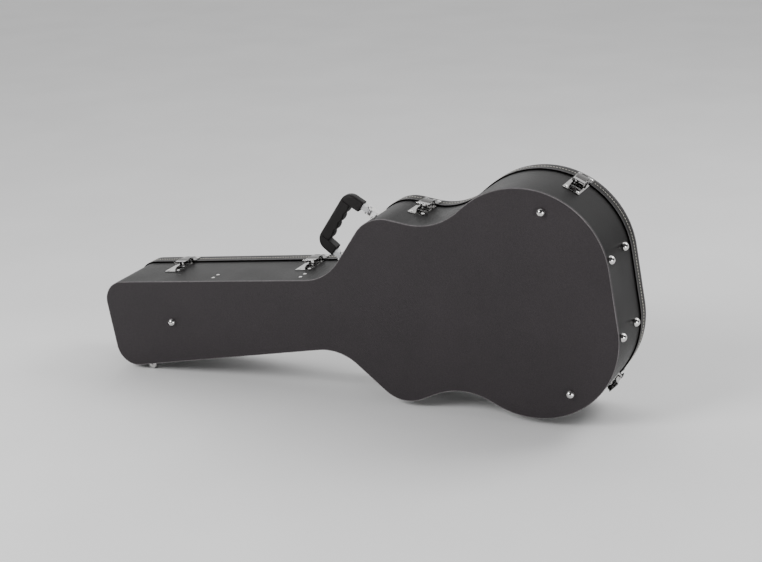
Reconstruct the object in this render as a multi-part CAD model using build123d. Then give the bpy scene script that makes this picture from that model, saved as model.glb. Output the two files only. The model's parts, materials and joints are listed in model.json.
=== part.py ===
from build123d import *
import os
from math import acos, asin, atan2, cos, degrees, hypot, sin, sqrt

# Hard-shell case for a flat-top guitar, in millimetres and degrees.
#
# Everything is drawn with the case lying on its back: +X runs along the centreline to the tail,
# +Y across to the hinge side, +Z up from the outer face of the back panel to the lid.
# The origin of that layout is the middle of the tail end on the back panel's outer face.
# STAND then turns the finished case onto its hinge side, the way it stands on a floor.

# ---- Outline of the shell, outside faces ----
case_length = 1086.0
lower_bout_width = 440.0
lower_bout_radius = 164.8
waist_width = 325.0
waist_radius = 126.9
waist_station = 339.8        # stations are measured from the tail along the centreline
upper_bout_radius = 70.6
upper_bout_station = 430.7
neck_width = 142.6
neck_radius = 100.4
neck_station = 606.7
head_width = 180.8
head_radius = 44.0

# ---- Heights, from the back panel's outer face ----
panel_thickness = 6.0
base_depth = 132.0
lid_depth = 33.0
parting_gap = 0.3            # between the rim of the base and the rim of the lid
wall_thickness = 6.0
lid_wall_thickness = 5.7     # thinner than the base wall, so that the lid passes the tongue
lip_proud = 2.5              # binding round the lid, outside the wall
lid_panel_thickness = 7.0
panel_edge_radius = 3.0
lid_edge_radius = 4.0

# ---- Rim tongue, linings and pads ----
tongue_thickness = 2.8
tongue_height = 7.5          # above the rim of the base
floor_pad_thickness = 10.0
bout_pad_thickness = 14.0
bout_pad_height = 80.0
lid_lining_thickness = 8.0

# ---- Neck cradle and accessory compartment ----
cradle_station = 575.0
cradle_length = 50.0
cradle_height = 74.0
cradle_notch_width = 66.0
cradle_notch_depth = 34.0
partition_stations = (632.0, 831.0)
partition_thickness = 6.0
partition_height = 32.0      # above the floor pad
compartment_lid_width = 94.0
compartment_lid_thickness = 4.0
compartment_lid_gap = 0.6
compartment_open_angle = 68.0
pull_tab_width = 16.0
pull_tab_length = 22.0
pull_tab_thickness = 1.6

# ---- Feet and small rivets ----
foot_radius = 8.5
foot_height = 9.5
foot_rim = 1.6
hinge_foot_rim = 4.1
back_foot_places = ((936.0, 0.0), (108.0, 172.0), (108.0, -172.0))
tail_foot_across = 72.0
tail_foot_heights = (16.0, 99.0)
hinge_foot_stations = (1016.0, 190.0)
hinge_foot_heights = ((13.0, 92.0), (56.0, 92.0))
hinge_foot_rise = 12.0      # taller than the others, so that the hinges stay off the floor
rivet_radius = 3.5
rivet_height = 1.6
partition_rivet_rises = (6.5, 25.5)   # above the floor pad

# ---- Hinges ----
hinge_length = 38.0
hinge_knuckle_radius = 2.2
hinge_pin_radius = 1.1
hinge_running_clearance = 0.05
hinge_swing_clearance = 0.35 # between the knuckles and the lid leaf
hinge_gap = 0.4              # between knuckles
hinge_leaf_thickness = 1.2
hinge_leaf_height = 26.0
hinge_web = 3.6
lid_open_angle = 100.0

# ---- Latches: width along the wall, drop below the parting line, rise from the wall ----
latch_stations = ((957.0, -1), (650.0, -1), (384.0, -1), (72.0, -1), (66.0, 1))
latch_plate_width = 34.0
latch_plate_drop = (3.0, 67.0)
latch_plate_thickness = 1.2
latch_plate_corner = 3.0
latch_pivot_drop = 10.0
latch_pivot_rise = 5.5
latch_pin_radius = 1.5
latch_running_clearance = 0.05
latch_ear_radius = 3.5
latch_ear_thickness = 1.2
latch_gap = 0.3
lever_width = 24.0
lever_sheet = 1.2
lever_end_drop = 39.0
lever_open_angle = 88.0
claw_pin_drop = 19.0
claw_pin_rise = 8.2
claw_pin_radius = 1.2
claw_barrel_radius = 2.2
claw_reach = 12.0            # past the parting line
claw_sheet = 1.6
claw_crown_rise = 11.6
claw_end_rise = 7.4
claw_tilt = 17.6             # how far the claw leans out when its lever is fully open
catch_plate_start = 3.0
catch_plate_end = 28.0
catch_hook_width = 18.0
catch_hook_rise = 4.3        # above the binding

latch_rivet_margin = 8.0
latch_rivet_spread = 12.0

# ---- Handle ----
handle_height = 66.0         # above the back panel
handle_inner_width = 86.0
handle_inner_width_at_wall = 96.0
handle_inner_reach = 51.5    # from the wall to the inside of the grip
handle_grip_thickness = 20.5
handle_leg_width = 22.0
handle_depth = 20.0
handle_corner_radius = 23.0
handle_edge_radius = 6.0
handle_finger_depth = 3.2
handle_pivot_rise = 14.0
handle_eye_radius = 6.5
handle_eye_width = 11.0
handle_eye_rise = 15.0       # from the pivot to the start of the plastic leg
handle_pin_radius = 2.5
handle_running_clearance = 0.05
handle_core_thickness = 4.0
handle_core_depth = 12.0
handle_core_bend = 12.0
handle_swing = 80.0
bracket_ear_thickness = 2.5
bracket_ear_gap = 0.4
bracket_ear_radius = 6.0
bracket_plate_thickness = 1.6
bracket_plate_length = 27.0
bracket_plate_height = 46.0

rim = base_depth
lid_rim = base_depth + parting_gap
case_depth = base_depth + lid_depth
lid_panel_bottom = case_depth - lid_panel_thickness
floor_top = panel_thickness + floor_pad_thickness

# The hinge axis lies this far outside the line that the bouts and the head touch.
hinge_axis_offset = lip_proud + hinge_leaf_thickness + hinge_swing_clearance + hinge_knuckle_radius


# ---- Outline: bends joined by the lines that touch them ----

def bends():
    """Centre and signed radius of each bend of the hinge side, tail to head; plus is convex."""
    head_bend = (-(case_length - head_radius), head_width / 2 - head_radius)
    tail_bend = (-lower_bout_radius, lower_bout_width / 2 - lower_bout_radius)
    lean = hinge_line_angle(tail_bend, head_bend)
    upper_x = -upper_bout_station
    upper_y = hinge_line_height(tail_bend, lean, upper_x) - upper_bout_radius / cos(lean)
    return [
        (tail_bend, lower_bout_radius),
        ((-waist_station, waist_width / 2 + waist_radius), -waist_radius),
        ((upper_x, upper_y), upper_bout_radius),
        ((-neck_station, neck_width / 2 + neck_radius), -neck_radius),
        (head_bend, head_radius),
    ]


def hinge_line_angle(tail_bend, head_bend):
    """Slope of the line that touches the lower bout and the head from outside."""
    run = tail_bend[0] - head_bend[0]
    rise = tail_bend[1] - head_bend[1]
    return atan2(rise, run) + asin((lower_bout_radius - head_radius) / hypot(run, rise))


def hinge_line_height(tail_bend, lean, x):
    """Y of that line at a place on the centreline."""
    touch_x = tail_bend[0] - lower_bout_radius * sin(lean)
    touch_y = tail_bend[1] + lower_bout_radius * cos(lean)
    return touch_y + (x - touch_x) * sin(lean) / cos(lean)


def outward_normals():
    """Outward direction of the tail end, of each line between two bends, and of the head end."""
    chain = bends()
    normals = [(1.0, 0.0)]
    for (start, start_r), (end, end_r) in zip(chain, chain[1:]):
        dx, dy = end[0] - start[0], end[1] - start[1]
        angle = atan2(dy, dx) - acos((start_r - end_r) / hypot(dx, dy))
        normals.append((cos(angle), sin(angle)))
    return normals + [(-1.0, 0.0)]


def outline(inset):
    """Face of the case's outline, moved in from the outside of the walls."""
    normals = outward_normals()
    edges = []
    for side in (1, -1):
        last = None
        for index, (centre, radius) in enumerate(bends()):
            before, after = normals[index], normals[index + 1]
            length = hypot(before[0] + after[0], before[1] + after[1])
            middle = ((before[0] + after[0]) / length, (before[1] + after[1]) / length)
            spots = []
            for direction in (before, middle, after):
                reach = radius - inset
                spots.append((centre[0] + reach * direction[0], side * (centre[1] + reach * direction[1])))
            if last:
                edges.append(Line(last, spots[0]))
            edges.append(ThreePointArc(*spots))
            last = spots[2]
            if index == 0:
                tail_corner = spots[0]
        if side == 1:
            edges.append(Line((tail_corner[0], -tail_corner[1]), tail_corner))
            edges.append(Line(last, (last[0], -last[1])))
    return make_face(edges)


def slab(inset, bottom, top):
    """Solid of the outline between two heights."""
    return Pos(0, 0, bottom) * extrude(outline(inset), amount=top - bottom)


def band(outer, inner, bottom, top):
    """Ring of wall between two insets."""
    return slab(outer, bottom, top) - slab(inner, bottom, top)


def block(x, y, z):
    """Box between pairs of limits."""
    centre = Pos((x[0] + x[1]) / 2, (y[0] + y[1]) / 2, (z[0] + z[1]) / 2)
    return centre * Box(abs(x[1] - x[0]), abs(y[1] - y[0]), abs(z[1] - z[0]))


def wall_spot(station, side, inset=0.0):
    """Point on the wall's outside at a station, and its outward direction."""
    normals = outward_normals()
    last = None
    for index, (centre, radius) in enumerate(bends()):
        reach = radius - inset
        start = (centre[0] + reach * normals[index][0], centre[1] + reach * normals[index][1])
        end = (centre[0] + reach * normals[index + 1][0], centre[1] + reach * normals[index + 1][1])
        if last and start[0] <= -station <= last[0]:
            share = (-station - last[0]) / (start[0] - last[0])
            y = last[1] + share * (start[1] - last[1])
            return (-station, side * y), (normals[index][0], side * normals[index][1])
        if end[0] <= -station <= start[0]:
            across = -station - centre[0]
            y = centre[1] + sqrt(reach * reach - across * across) * (1 if radius > 0 else -1)
            return (-station, side * y), (across / reach, side * (y - centre[1]) / reach)
        last = end
    raise ValueError("station is off the case")


def wall_frame(station, side, height, inset=0.0):
    """Plane on the wall: local X along the wall, local Y towards the lid, local Z outwards."""
    (x, y), (nx, ny) = wall_spot(station, side, inset)
    return Plane(origin=(x, y, height), x_dir=(-ny, nx, 0), z_dir=(nx, ny, 0))


def hug(frame, half_width, low, high, proud, thickness, corner):
    """Plate that follows the wall: local Y from low to high, rounded corners."""
    bottom = frame.origin.Z + low
    top = frame.origin.Z + high
    shell = band(-(proud + thickness), -proud, bottom, top)
    cutter = extrude(RectangleRounded(2 * half_width, high - low, corner), amount=40, both=True)
    return shell & (frame.location * Pos(0, (low + high) / 2, 0) * cutter)


def rod(radius, start, end):
    """Cylinder between two points on a line parallel to local X."""
    middle = ((start[0] + end[0]) / 2, start[1], start[2])
    return Pos(*middle) * Rot(0, 90, 0) * Cylinder(radius, abs(end[0] - start[0]))


def dome(radius, height, rim_height):
    """Domed stud standing on local Z = 0."""
    crown = height - rim_height
    ball = (radius * radius + crown * crown) / (2 * crown)
    cap = Pos(0, 0, height - ball) * Sphere(ball)
    body = Pos(0, 0, height / 2) * Cylinder(radius, height)
    return body & cap


# ---- Shell of the base ----

def back_panel():
    body = slab(0, 0, panel_thickness)
    return fillet(body.edges().group_by(Axis.Z)[0], panel_edge_radius)


def shell_side(ring, side):
    """Half of a ring between the tail seam and the head board."""
    reach = lower_bout_width
    head_x = -(case_length - head_radius)
    return ring & block((head_x, 10), (0, side * reach), (-10, case_depth + 10))


def head_board(ring):
    head_x = -(case_length - head_radius)
    return ring & block((head_x, -case_length - 10), (-head_width, head_width), (-10, case_depth + 10))


# ---- Linings and pads ----

def floor_pad():
    return slab(wall_thickness, panel_thickness, floor_top)


def bout_pad(side):
    ring = band(wall_thickness, wall_thickness + bout_pad_thickness, floor_top, floor_top + bout_pad_height)
    return ring & block((-cradle_station, 10), (0, side * lower_bout_width), (0, case_depth))


def neck_cradle():
    """Padded block across the neck channel with a rounded notch for the neck."""
    top = floor_top + cradle_height
    body = slab(wall_thickness, floor_top, top)
    body = body & block((-cradle_station - cradle_length, -cradle_station), (-200, 200), (0, case_depth))
    half = cradle_notch_width / 2
    notch = Pos(-cradle_station - cradle_length / 2, 0, top) * Box(
        cradle_length + 4, cradle_notch_width, 2 * (cradle_notch_depth - half / 2))
    round_end = Pos(-cradle_station - cradle_length / 2, 0, top - cradle_notch_depth + half) * (
        Rot(0, 90, 0) * Cylinder(half, cradle_length + 4))
    return body - notch - round_end


def partition(station):
    top = floor_top + partition_height
    body = slab(wall_thickness, floor_top, top)
    return body & block((-station - partition_thickness / 2, -station + partition_thickness / 2),
                        (-200, 200), (0, case_depth))


def compartment_hinge():
    """Line that the compartment's lid turns on: Y and Z of its axis."""
    inner = wall_spot(partition_stations[0], 1, wall_thickness)[0][1]
    lid_edge = -inner + compartment_lid_gap + compartment_lid_width
    return lid_edge, floor_top + partition_height + compartment_lid_thickness


def compartment_span():
    """X limits of the board and the lid over the compartment."""
    half = partition_thickness / 2
    return -partition_stations[1] - half, -partition_stations[0] + half


def compartment_ledge():
    """Fixed board on the hinge side that carries the compartment's lid."""
    axis_y, top = compartment_hinge()
    body = slab(wall_thickness, top - compartment_lid_thickness, top)
    return body & block(compartment_span(), (axis_y + compartment_lid_gap / 2, 200), (0, case_depth))


def compartment_lid():
    """Board that closes the compartment, with a lipped slot for its tab."""
    axis_y, top = compartment_hinge()
    body = slab(wall_thickness + compartment_lid_gap, top - compartment_lid_thickness + 0.1, top)
    return body & block(compartment_span(), (-200, axis_y - compartment_lid_gap / 2), (0, case_depth))


def pull_tab():
    """Folded ribbon loop on the free edge of the compartment's lid."""
    axis_y, top = compartment_hinge()
    middle = sum(compartment_span()) / 2
    free_edge = axis_y - compartment_lid_width
    strap = block((middle - pull_tab_width / 2, middle + pull_tab_width / 2),
                  (free_edge + 4, free_edge + 4 + pull_tab_length), (top, top + pull_tab_thickness))
    loop = Pos(middle, free_edge + 4 + pull_tab_length, top + 2 * pull_tab_thickness) * (
        Rot(0, 90, 0) * (Cylinder(2 * pull_tab_thickness, pull_tab_width)
                         - Cylinder(pull_tab_thickness, pull_tab_width)))
    return strap + loop


# ---- Feet and rivets on the walls ----

def stud_on_wall(station, side, height, radius, rise, rim_height, proud=0.0):
    """Domed stud whose back follows the wall."""
    frame = wall_frame(station, side, height)
    stud = frame.location * Pos(0, 0, proud - 1) * dome(radius, rise + 1, rim_height + 1)
    return stud - slab(-proud, 0, case_depth)


def back_feet():
    feet = []
    for station, across in back_foot_places:
        feet.append(Pos(-station, -across, 0) * Rot(180, 0, 0) * dome(foot_radius, foot_height, foot_rim))
    return feet


def tail_feet():
    feet = []
    for side in (1, -1):
        station = tail_foot_station()
        for height in tail_foot_heights:
            feet.append(stud_on_wall(station, side, height, foot_radius, foot_height, foot_rim))
    return feet


def tail_foot_station():
    """Station of the point on the lower bout that lies tail_foot_across from the centreline."""
    (x, y), radius = bends()[0]
    over = tail_foot_across - y
    return -(x + sqrt(radius * radius - over * over)) if over > 0 else 0.0


def hinge_side_feet():
    feet = []
    for station, heights in zip(hinge_foot_stations, hinge_foot_heights):
        for height in heights:
            feet.append(stud_on_wall(station, 1, height, foot_radius, hinge_foot_rise, hinge_foot_rim))
    return feet


def partition_rivets():
    rivets = []
    for station in partition_stations:
        for side in (1, -1):
            for rise in partition_rivet_rises:
                height = floor_top + rise
                rivets.append(stud_on_wall(station, side, height, rivet_radius, rivet_height, 0.4))
    return rivets


# ---- Hinges ----

def hinge_frame():
    """Plane on the hinge axis: local X towards the tail, local Y outwards, local Z up to the lid."""
    tail_bend = bends()[0][0]
    lean = hinge_line_angle(tail_bend, bends()[-1][0])
    outward = (-sin(lean), cos(lean), 0)
    touch = lower_bout_radius + hinge_axis_offset
    origin = (tail_bend[0] + touch * outward[0], tail_bend[1] + touch * outward[1], rim + parting_gap / 2)
    return Plane(origin=origin, x_dir=(cos(lean), sin(lean), 0), z_dir=(0, 0, 1))


def hinge_stations():
    """Distances along the hinge axis from the lower bout's touching point to each hinge."""
    lean = hinge_line_angle(bends()[0][0], bends()[-1][0])
    places = []
    for (x, y), radius in (bends()[0], bends()[2], bends()[4]):
        along = (x - bends()[0][0][0]) * cos(lean) + (y - bends()[0][0][1]) * sin(lean)
        places.append(along)
    places[2] += hinge_length / 2 + 8
    return places


def knuckle(along, start, end):
    return Pos(along, 0, 0) * rod(hinge_knuckle_radius, (start, 0, 0), (end, 0, 0))


def hinge_leaf(along, lid):
    """One leaf: a plate that follows the wall, and its knuckles with their web."""
    frame = hinge_frame()
    proud = lip_proud if lid else 0.0
    bore = Pos(along, 0, 0) * rod(hinge_pin_radius + (hinge_running_clearance if lid else 0),
                                  (-hinge_length, 0, 0), (hinge_length, 0, 0))
    third = hinge_length / 3
    spans = [(-third / 2, third / 2)] if lid else [(-hinge_length / 2, -third / 2 - hinge_gap),
                                                   (third / 2 + hinge_gap, hinge_length / 2)]
    half_gap = parting_gap / 2
    web_z = (half_gap, half_gap + hinge_web) if lid else (-half_gap - hinge_web, -half_gap)
    low = half_gap + 0.3 if lid else -half_gap - hinge_leaf_height
    high = half_gap + hinge_leaf_height if lid else -half_gap
    shell = band(-(proud + hinge_leaf_thickness), -proud, rim + half_gap + low, rim + half_gap + high)
    plate = shell & (frame.location * block_at(along, hinge_length / 2, (-30, 3), (-60, 60)))
    body = plate
    for start, end in spans:
        barrel = knuckle(along, start, end)
        web = block((along + start, along + end), (-30, 0), web_z)
        piece = frame.location * (barrel + web)
        body = body + (piece - slab(-proud, 0, case_depth + 5))
    return body - frame.location * bore


def block_at(along, half, y, z):
    return block((along - half, along + half), y, z)


def hinge_pin(along):
    return hinge_frame().location * Pos(along, 0, 0) * rod(
        hinge_pin_radius, (-hinge_length / 2, 0, 0), (hinge_length / 2, 0, 0))


def hinge_rivets(lid):
    rivets = []
    frame = hinge_frame()
    proud = (lip_proud if lid else 0.0) + hinge_leaf_thickness
    height = rim + (hinge_leaf_height * 0.62 if lid else -hinge_leaf_height * 0.62)
    for along in hinge_stations():
        for offset in (-hinge_length * 0.3, hinge_length * 0.3):
            spot = frame.location * Pos(along + offset, 0, 0)
            station = -spot.position.X
            rivets.append(stud_on_wall(station, 1, height, rivet_radius, rivet_height, 0.4, proud))
    return rivets


# ---- Latches, each drawn in its wall frame with local Y = 0 on the parting line ----

def latch_frame(index):
    station, side = latch_stations[index]
    return wall_frame(station, side, rim)


def latch_pivot():
    return (0, -latch_pivot_drop, latch_pivot_rise)


def claw_pivot():
    return (0, -claw_pin_drop, claw_pin_rise)


def latch_base_plate(index):
    """Plate riveted to the base wall, with two ears for the lever's pin."""
    frame = latch_frame(index)
    near, far = latch_plate_drop
    plate = hug(frame, latch_plate_width / 2, -far, -near, 0, latch_plate_thickness, latch_plate_corner)
    ear_inner = lever_width / 2 + latch_gap
    _, y, z = latch_pivot()
    body = plate
    for side in (1, -1):
        inner, outer = side * ear_inner, side * (ear_inner + latch_ear_thickness)
        ear = rod(latch_ear_radius, (inner, y, z), (outer, y, z))
        ear += block((inner, outer), (y - latch_ear_radius, y + latch_ear_radius), (-2, z))
        body += frame.location * ear - slab(0, 0, case_depth)
    bore = rod(latch_pin_radius, (-30, y, z), (30, y, z))
    return body - frame.location * bore


def latch_pin(index):
    _, y, z = latch_pivot()
    half = lever_width / 2 + latch_gap + latch_ear_thickness + 0.6
    return latch_frame(index).location * rod(latch_pin_radius, (-half, y, z), (half, y, z))


def latch_base_rivets():
    rivets = []
    for station, side in latch_stations:
        frame = wall_frame(station, side, rim - latch_plate_drop[1] + latch_rivet_margin)
        for offset in (-latch_rivet_spread, latch_rivet_spread):
            rivets.append(rivet_on(frame, offset, latch_plate_thickness))
    return rivets


def rivet_on(frame, offset, proud):
    """Rivet head on a plate that stands proud of the wall."""
    head = frame.location * Pos(offset, 0, 0) * dome(rivet_radius, proud + rivet_height, proud + 0.4)
    return head - slab(-proud, 0, case_depth)


def sheet_profile(points, thickness, half_width):
    """Bent sheet: a path in local Y and Z given as points, thickened and made wide along local X."""
    outer = points
    inner = []
    for index, (y, z) in enumerate(points):
        before = points[max(index - 1, 0)]
        after = points[min(index + 1, len(points) - 1)]
        run, rise = after[0] - before[0], after[1] - before[1]
        length = hypot(run, rise)
        inner.append((y + thickness * rise / length, z - thickness * run / length))
    path = Polyline(*[(0, y, z) for y, z in outer + inner[::-1] + outer[:1]])
    return extrude(make_face(path.edges()), amount=half_width, dir=(1, 0, 0), both=True)


def lever_body(index):
    """Draw lever: two cheeks on the pivot pin and a finger plate between their free ends."""
    _, py, pz = latch_pivot()
    _, cy, cz = claw_pivot()
    half = lever_width / 2
    top = claw_pin_rise + claw_barrel_radius + 0.4
    end = -lever_end_drop
    cheek_path = Polyline((0, py, pz - 3.2), (0, cy, 3.0), (0, end + 10, 3.4), (0, end + 3, 6.5),
                          (0, end + 3, top), (0, py - 5, top), (0, py, pz + 3.2), (0, py, pz - 3.2))
    cheeks = Part()
    for side in (1, -1):
        sheet = extrude(make_face(cheek_path.edges()), amount=lever_sheet, dir=(1, 0, 0))
        sheet += rod(3.2, (0, py, pz), (lever_sheet, py, pz))
        cheeks += Pos(half - lever_sheet if side > 0 else -half, 0, 0) * sheet
    plate = sheet_profile([(end, top + 2.6), (end + 3.5, top + 1.2), (end + 8, top), (end + 16, top)],
                          lever_sheet, half)
    bores = rod(latch_pin_radius + latch_running_clearance, (-30, py, pz), (30, py, pz))
    claw_bore = rod(claw_pin_radius, (-30, cy, cz), (30, cy, cz))
    return latch_frame(index).location * (cheeks + plate - bores - claw_bore)


def claw_pin(index):
    _, cy, cz = claw_pivot()
    half = lever_width / 2 + 0.6
    return latch_frame(index).location * rod(claw_pin_radius, (-half, cy, cz), (half, cy, cz))


def claw_body(index):
    """Humped claw: a barrel on the lever's pin and a curved plate that reaches over the binding."""
    _, cy, cz = claw_pivot()
    half = lever_width / 2 - lever_sheet - latch_gap
    start = (0, cy + 0.5, cz + claw_barrel_radius)
    crown = (0, -6.0, claw_crown_rise)
    tip = (0, claw_reach, claw_end_rise + claw_sheet)
    low_tip = (0, claw_reach, claw_end_rise)
    low_crown = (0, -6.0, claw_crown_rise - claw_sheet)
    low_start = (0, cy + 1.2, cz - 0.4)
    edges = [ThreePointArc(start, crown, tip), Line(tip, low_tip),
             ThreePointArc(low_tip, low_crown, low_start), Line(low_start, start)]
    plate = extrude(make_face(edges), amount=half, dir=(1, 0, 0), both=True)
    barrel = rod(claw_barrel_radius, (-half, cy, cz), (half, cy, cz))
    window = block((-half + 4.5, half - 4.5), (-1.0, claw_reach - 3.5), (0, 20))
    bore = rod(claw_pin_radius + latch_running_clearance, (-30, cy, cz), (30, cy, cz))
    return latch_frame(index).location * (plate + barrel - window - bore)


def catch_plate(index):
    """Plate on the lid's binding with the hook that the claw draws down."""
    frame = latch_frame(index)
    body = hug(frame, latch_plate_width / 2, catch_plate_start, catch_plate_end, lip_proud,
               latch_plate_thickness, latch_plate_corner)
    root = lip_proud
    hook = block((-catch_hook_width / 2, catch_hook_width / 2), (catch_plate_start + 1.5, catch_plate_start + 3.5),
                 (root - 2, root + catch_hook_rise))
    return body + (frame.location * hook - slab(-lip_proud, 0, case_depth + 10))


def catch_rivets():
    rivets = []
    for station, side in latch_stations:
        frame = wall_frame(station, side, rim + (catch_plate_start + catch_plate_end) / 2 + 3)
        for offset in (-latch_rivet_spread, latch_rivet_spread):
            rivets.append(rivet_on(frame, offset, lip_proud + latch_plate_thickness))
    return rivets


# ---- Handle, drawn in the frame of the flat shoulder: local X along it, local Z outwards ----

def handle_frame():
    """Plane at the middle of the shoulder's straight stretch on the latch side."""
    normals = outward_normals()
    ends = []
    for index in (2, 3):
        centre, radius = bends()[index]
        ends.append((centre[0] + radius * normals[3][0], centre[1] + radius * normals[3][1]))
    x, y = (ends[0][0] + ends[1][0]) / 2, (ends[0][1] + ends[1][1]) / 2
    nx, ny = normals[3][0], -normals[3][1]
    return Plane(origin=(x, -y, handle_height), x_dir=(-ny, nx, 0), z_dir=(nx, ny, 0))


def handle_sizes():
    """Half widths and reaches shared by the handle's pieces."""
    inner = handle_inner_width / 2
    foot = handle_inner_width_at_wall / 2
    leg_start = handle_pivot_rise + handle_eye_rise
    reach = handle_inner_reach
    slope = (foot - inner) / reach
    eye_middle = foot + handle_leg_width / 2 - 1.0
    return inner, foot, leg_start, reach, slope, eye_middle


def handle_outer_face():
    inner, foot, leg_start, reach, slope, _ = handle_sizes()
    top = reach + handle_grip_thickness
    outer_top = inner + handle_leg_width + 1.0
    outer_low = foot - slope * leg_start + handle_leg_width
    points = [(-outer_low, leg_start), (-outer_top + slope * 12, top), (outer_top - slope * 12, top),
              (outer_low, leg_start)]
    edges = FilletPolyline(*points, radius=handle_corner_radius).edges()
    edges += Line(points[3], points[0]).edges()
    return make_face(edges)


def handle_inner_face():
    """Finger opening: straight legs, and a grip edge with four shallow finger waves."""
    inner, foot, leg_start, reach, slope, _ = handle_sizes()
    low = foot - slope * leg_start
    wave = inner / 2
    edges = [Line((-low, leg_start - 1), (-inner, reach)), Line((inner, reach), (low, leg_start - 1)),
             Line((low, leg_start - 1), (-low, leg_start - 1))]
    for count in range(4):
        start = -inner + count * wave
        edges.append(ThreePointArc((start, reach), (start + wave / 2, reach - handle_finger_depth),
                                   (start + wave, reach)))
    return make_face(edges)


def handle_solid():
    """Whole moulding of the handle before it is divided at its seams."""
    depth = handle_depth / 2
    lay = Rot(90, 0, 0)
    body = extrude(lay * handle_outer_face(), amount=depth, both=True)
    leg_start = handle_pivot_rise + handle_eye_rise
    rims = [edge for edge in body.edges() if abs(abs(edge.center().Y) - depth) < 0.01
            and edge.center().Z > leg_start + 0.1]
    body = fillet(rims, handle_edge_radius)
    return body - extrude(lay * handle_inner_face(), amount=depth + 5, both=True)


def handle_core_path():
    """Flat steel strip that follows the handle's middle line."""
    inner, foot, leg_start, reach, slope, eye = handle_sizes()
    top = reach + handle_grip_thickness / 2
    corner = inner + handle_leg_width / 2
    points = [(-eye, handle_pivot_rise), (-corner, top), (corner, top), (eye, handle_pivot_rise)]
    return FilletPolyline(*points, radius=handle_core_bend)


def handle_core():
    """Steel strip inside the handle, ending in the eyes that turn on the pins."""
    inner, foot, leg_start, reach, slope, eye = handle_sizes()
    path = handle_core_path()
    strip = Rot(90, 0, 0) * extrude(
        make_face(offset(path, amount=handle_core_thickness / 2, kind=Kind.ARC).edges()),
        amount=handle_core_depth / 2, both=True)
    body = strip
    for side in (1, -1):
        place_eye = (side * eye - handle_eye_width / 2, 0, handle_pivot_rise)
        far_eye = (side * eye + handle_eye_width / 2, 0, handle_pivot_rise)
        body += rod(handle_eye_radius, place_eye, far_eye)
        body += block((place_eye[0], far_eye[0]), (-handle_core_depth / 2, handle_core_depth / 2),
                      (handle_pivot_rise, handle_pivot_rise + handle_eye_rise))
        body -= rod(handle_pin_radius + handle_running_clearance,
                    (side * eye - 20, 0, handle_pivot_rise), (side * eye + 20, 0, handle_pivot_rise))
    return handle_frame().location * body


def handle_parts():
    """Grip and the two legs, hollowed for the steel core."""
    inner = handle_sizes()[0]
    seam = inner + 1.0
    whole = handle_frame().location * handle_solid() - handle_core()
    far = 200
    frame = handle_frame().location
    grip = whole & frame * block((-seam, seam), (-far, far), (0, far))
    leg_neck = whole & frame * block((seam, far), (-far, far), (0, far))
    leg_bout = whole & frame * block((-far, -seam), (-far, far), (0, far))
    return grip, leg_bout, leg_neck


def handle_bracket(side):
    """Wall plate with two ears around one eye of the handle."""
    eye = handle_sizes()[5]
    frame = handle_frame()
    low = -20.0
    inner = handle_eye_width / 2 + bracket_ear_gap
    outer = inner + bracket_ear_thickness
    body = Part()
    for way in (1, -1):
        start, end = side * eye + way * inner, side * eye + way * outer
        body += rod(bracket_ear_radius, (start, 0, handle_pivot_rise), (end, 0, handle_pivot_rise))
        body += block((start, end), (-bracket_ear_radius, bracket_ear_radius), (low, handle_pivot_rise))
    bore = rod(handle_pin_radius, (side * eye - 30, 0, handle_pivot_rise), (side * eye + 30, 0, handle_pivot_rise))
    ears = frame.location * (body - bore) - slab(0, 0, case_depth)
    bottom, top = handle_height - bracket_plate_height / 2, handle_height + bracket_plate_height / 2
    shell = band(-bracket_plate_thickness, 0, bottom, top)
    cutter = extrude(RectangleRounded(bracket_plate_length, bracket_plate_height, 4), amount=60, both=True)
    plate = shell & (frame.location * Pos(side * eye, 0, 0) * cutter)
    return ears + plate


def handle_pin(side):
    eye = handle_sizes()[5]
    half = handle_eye_width / 2 + bracket_ear_gap + bracket_ear_thickness + 0.8
    return handle_frame().location * rod(handle_pin_radius, (side * eye - half, 0, handle_pivot_rise),
                                         (side * eye + half, 0, handle_pivot_rise))


def handle_rivets():
    rivets = []
    eye = handle_sizes()[5]
    frame = handle_frame()
    for side in (1, -1):
        for lift in (-1, 1):
            rise = lift * (bracket_plate_height / 2 - 7)
            head = frame.location * Pos(side * eye, rise, 0) * Cylinder(rivet_radius, 40)
            skin = band(-bracket_plate_thickness - rivet_height, -bracket_plate_thickness, 0, case_depth)
            rivets.append(head & skin)
    return rivets


# ---- Lid ----

def lid_panel():
    body = slab(-lip_proud, lid_panel_bottom, case_depth)
    return fillet(body.edges().group_by(Axis.Z)[-1], lid_edge_radius)


def stand():
    """Location that turns the case from its back onto its hinge-side feet, which then stand level."""
    crown = hinge_foot_rise - hinge_foot_rim
    ball = (foot_radius * foot_radius + crown * crown) / (2 * crown)
    centres = []
    for station in hinge_foot_stations:
        (x, y), (nx, ny) = wall_spot(station, 1)
        reach = hinge_foot_rise - ball
        centres.append((x + reach * nx, y + reach * ny))
    (head_x, head_y), (tail_x, tail_y) = centres
    lean = atan2(tail_y - head_y, tail_x - head_x)
    return Rot(0, -degrees(lean), 0) * Rot(-90, 0, 0)


def group(pieces):
    """One node that holds several separate solids."""
    return Compound([solid for piece in pieces for solid in piece.solids()])


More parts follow.
